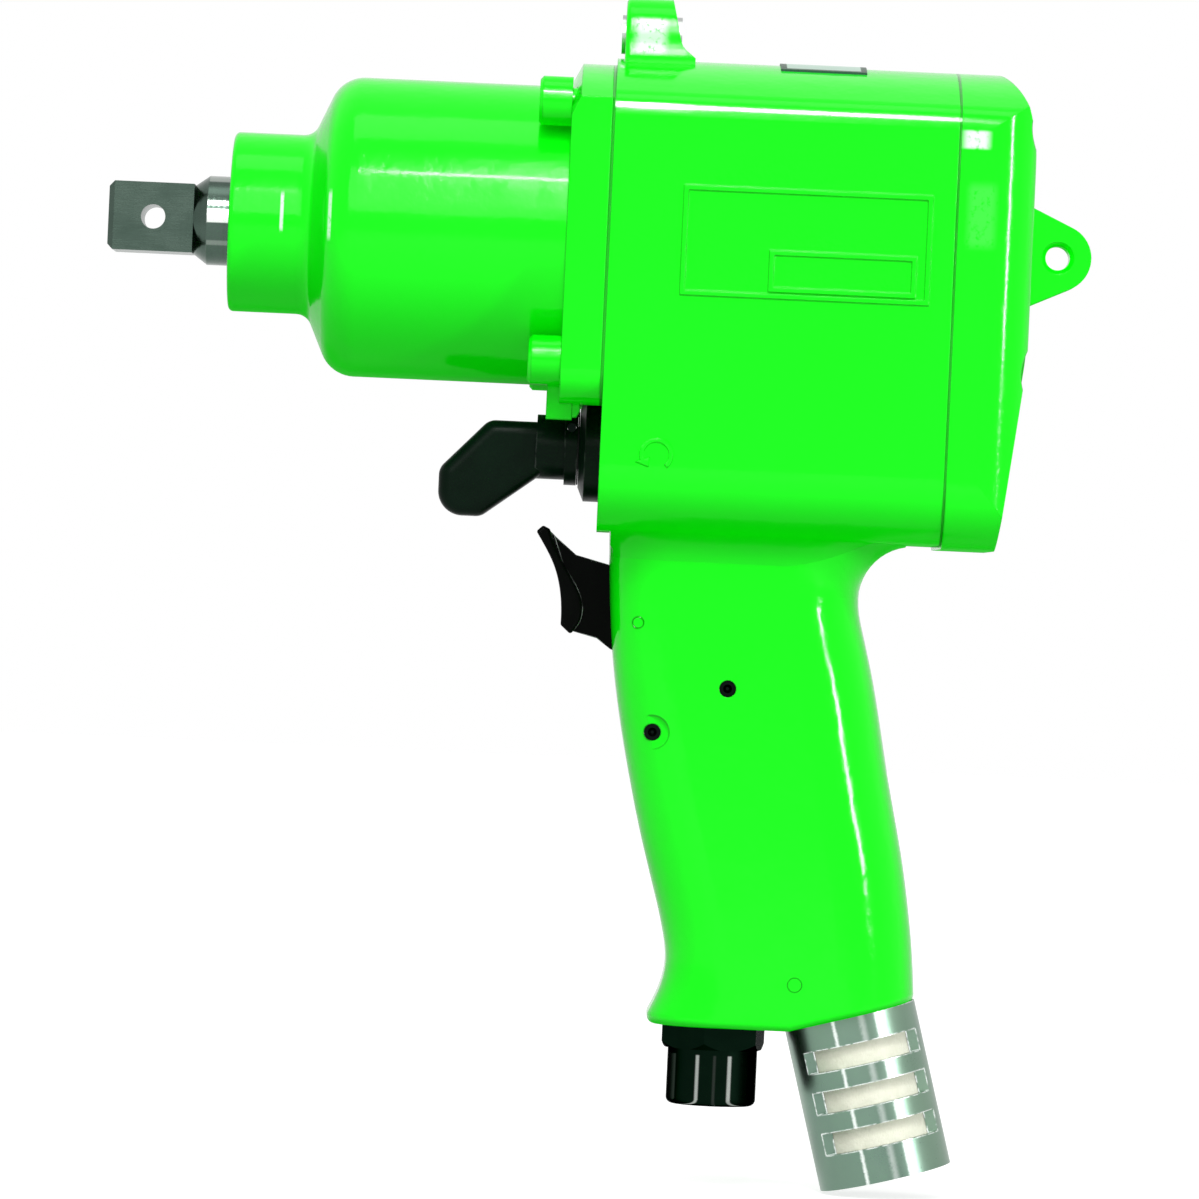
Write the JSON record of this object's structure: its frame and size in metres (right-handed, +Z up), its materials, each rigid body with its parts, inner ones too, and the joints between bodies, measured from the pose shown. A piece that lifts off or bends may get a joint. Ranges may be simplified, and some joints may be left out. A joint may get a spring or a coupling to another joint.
{
  "type": "air impact wrench",
  "caption": "Pistol-grip air impact wrench with a half-inch square drive, sliding trigger, reversing lever, slotted exhaust muffler and hanging eyes.",
  "frame": {"origin": "centre of the square drive's front face, on the drive axis", "axes": "+X along the drive axis from the square drive to the rear cover, +Z up, away from the grip, +Y to the tool's right side"},
  "size_m": [0.1818, 0.0645, 0.2188],
  "materials": {
    "green_casting": "gloss enamel paint over cast aluminium",
    "green_fastener": "gloss enamel paint over steel",
    "steel": "ground",
    "dark_steel": "phosphated, oiled",
    "aluminium": "turned",
    "bronze": "bored",
    "seal_rubber": "matte",
    "vane_laminate": "pressed laminate",
    "black_cast": "satin black",
    "black_plastic": "moulded",
    "black_steel": "blackened",
    "felt": "pressed felt"
  },
  "bodies": {
    "housing": {"hammer_case": "green_casting", "nose_bushing": "bronze", "nose_seal": "seal_rubber", "case_gasket": "seal_rubber", "case_bolts": "green_fastener", "motor_housing": "green_casting", "hanger_bush": "steel", "top_plate": "aluminium", "rear_gasket": "seal_rubber", "rear_cover": "green_casting", "rear_cover_screws": "steel", "front_end_plate": "aluminium", "rear_end_plate": "aluminium", "motor_cylinder": "steel", "cylinder_dowel": "steel", "front_bearing_outer_ring": "steel", "rear_bearing_outer_ring": "steel", "trigger_guide_pin": "green_fastener", "grip_roll_pins": "black_steel", "muffler_pin": "green_fastener", "throttle_bushing": "bronze", "throttle_spring": "steel", "reverse_collar": "black_cast", "reverse_valve_bushing": "bronze", "detent_ball": "steel", "detent_spring": "steel", "inlet_bushing": "black_steel", "inlet_seal": "seal_rubber", "inlet_screen": "steel", "muffler_body": "aluminium", "muffler_felt": "felt", "muffler_end_cap": "aluminium", "muffler_snap_ring": "steel"},
    "rotor": {"rotor": "steel", "rotor_vanes": "vane_laminate", "hammer_cage": "dark_steel", "hammer_pins": "steel", "front_bearing_inner_ring": "steel", "rear_bearing_inner_ring": "steel", "front_bearing_balls": "steel", "rear_bearing_balls": "steel"},
    "front_hammer": {"front_hammer": "dark_steel"},
    "rear_hammer": {"rear_hammer": "dark_steel"},
    "anvil": {"anvil": "dark_steel"},
    "trigger": {"trigger": "black_plastic", "throttle_valve": "steel"},
    "reverse": {"reverse_lever": "black_cast", "reverse_lever_pin": "steel", "reverse_valve": "steel"}
  },
  "joints": [
    {"name": "rotor_spin", "type": "hinge", "parent": "housing", "child": "rotor", "pos_m": [0, 0, 0], "axis": [1, 0, 0], "continuous": true},
    {"name": "anvil_spin", "type": "hinge", "parent": "housing", "child": "anvil", "pos_m": [0, 0, 0], "axis": [1, 0, 0], "continuous": true},
    {"name": "front_hammer_swing", "type": "hinge", "parent": "rotor", "child": "front_hammer", "pos_m": [0, 0, 0.0192], "axis": [1, 0, 0], "range_deg": [-4, 4]},
    {"name": "rear_hammer_swing", "type": "hinge", "parent": "rotor", "child": "rear_hammer", "pos_m": [0, 0, -0.0192], "axis": [1, 0, 0], "range_deg": [-4, 4]},
    {"name": "trigger_slide", "type": "slide", "parent": "housing", "child": "trigger", "axis": [0.9703, 0, -0.2419], "range_m": [0, 0.0034], "stiffness_N_per_m": 800, "springref_m": -0.01, "deforming": ["throttle_spring"]},
    {"name": "reverse_turn", "type": "hinge", "parent": "housing", "child": "reverse", "pos_m": [0, 0, -0.0391], "axis": [1, 0, 0], "range_deg": [-45, 45]}
  ],
  "couplings": [
    {"joint": "anvil_spin", "follows": "rotor_spin", "ratio": 1}
  ]
}
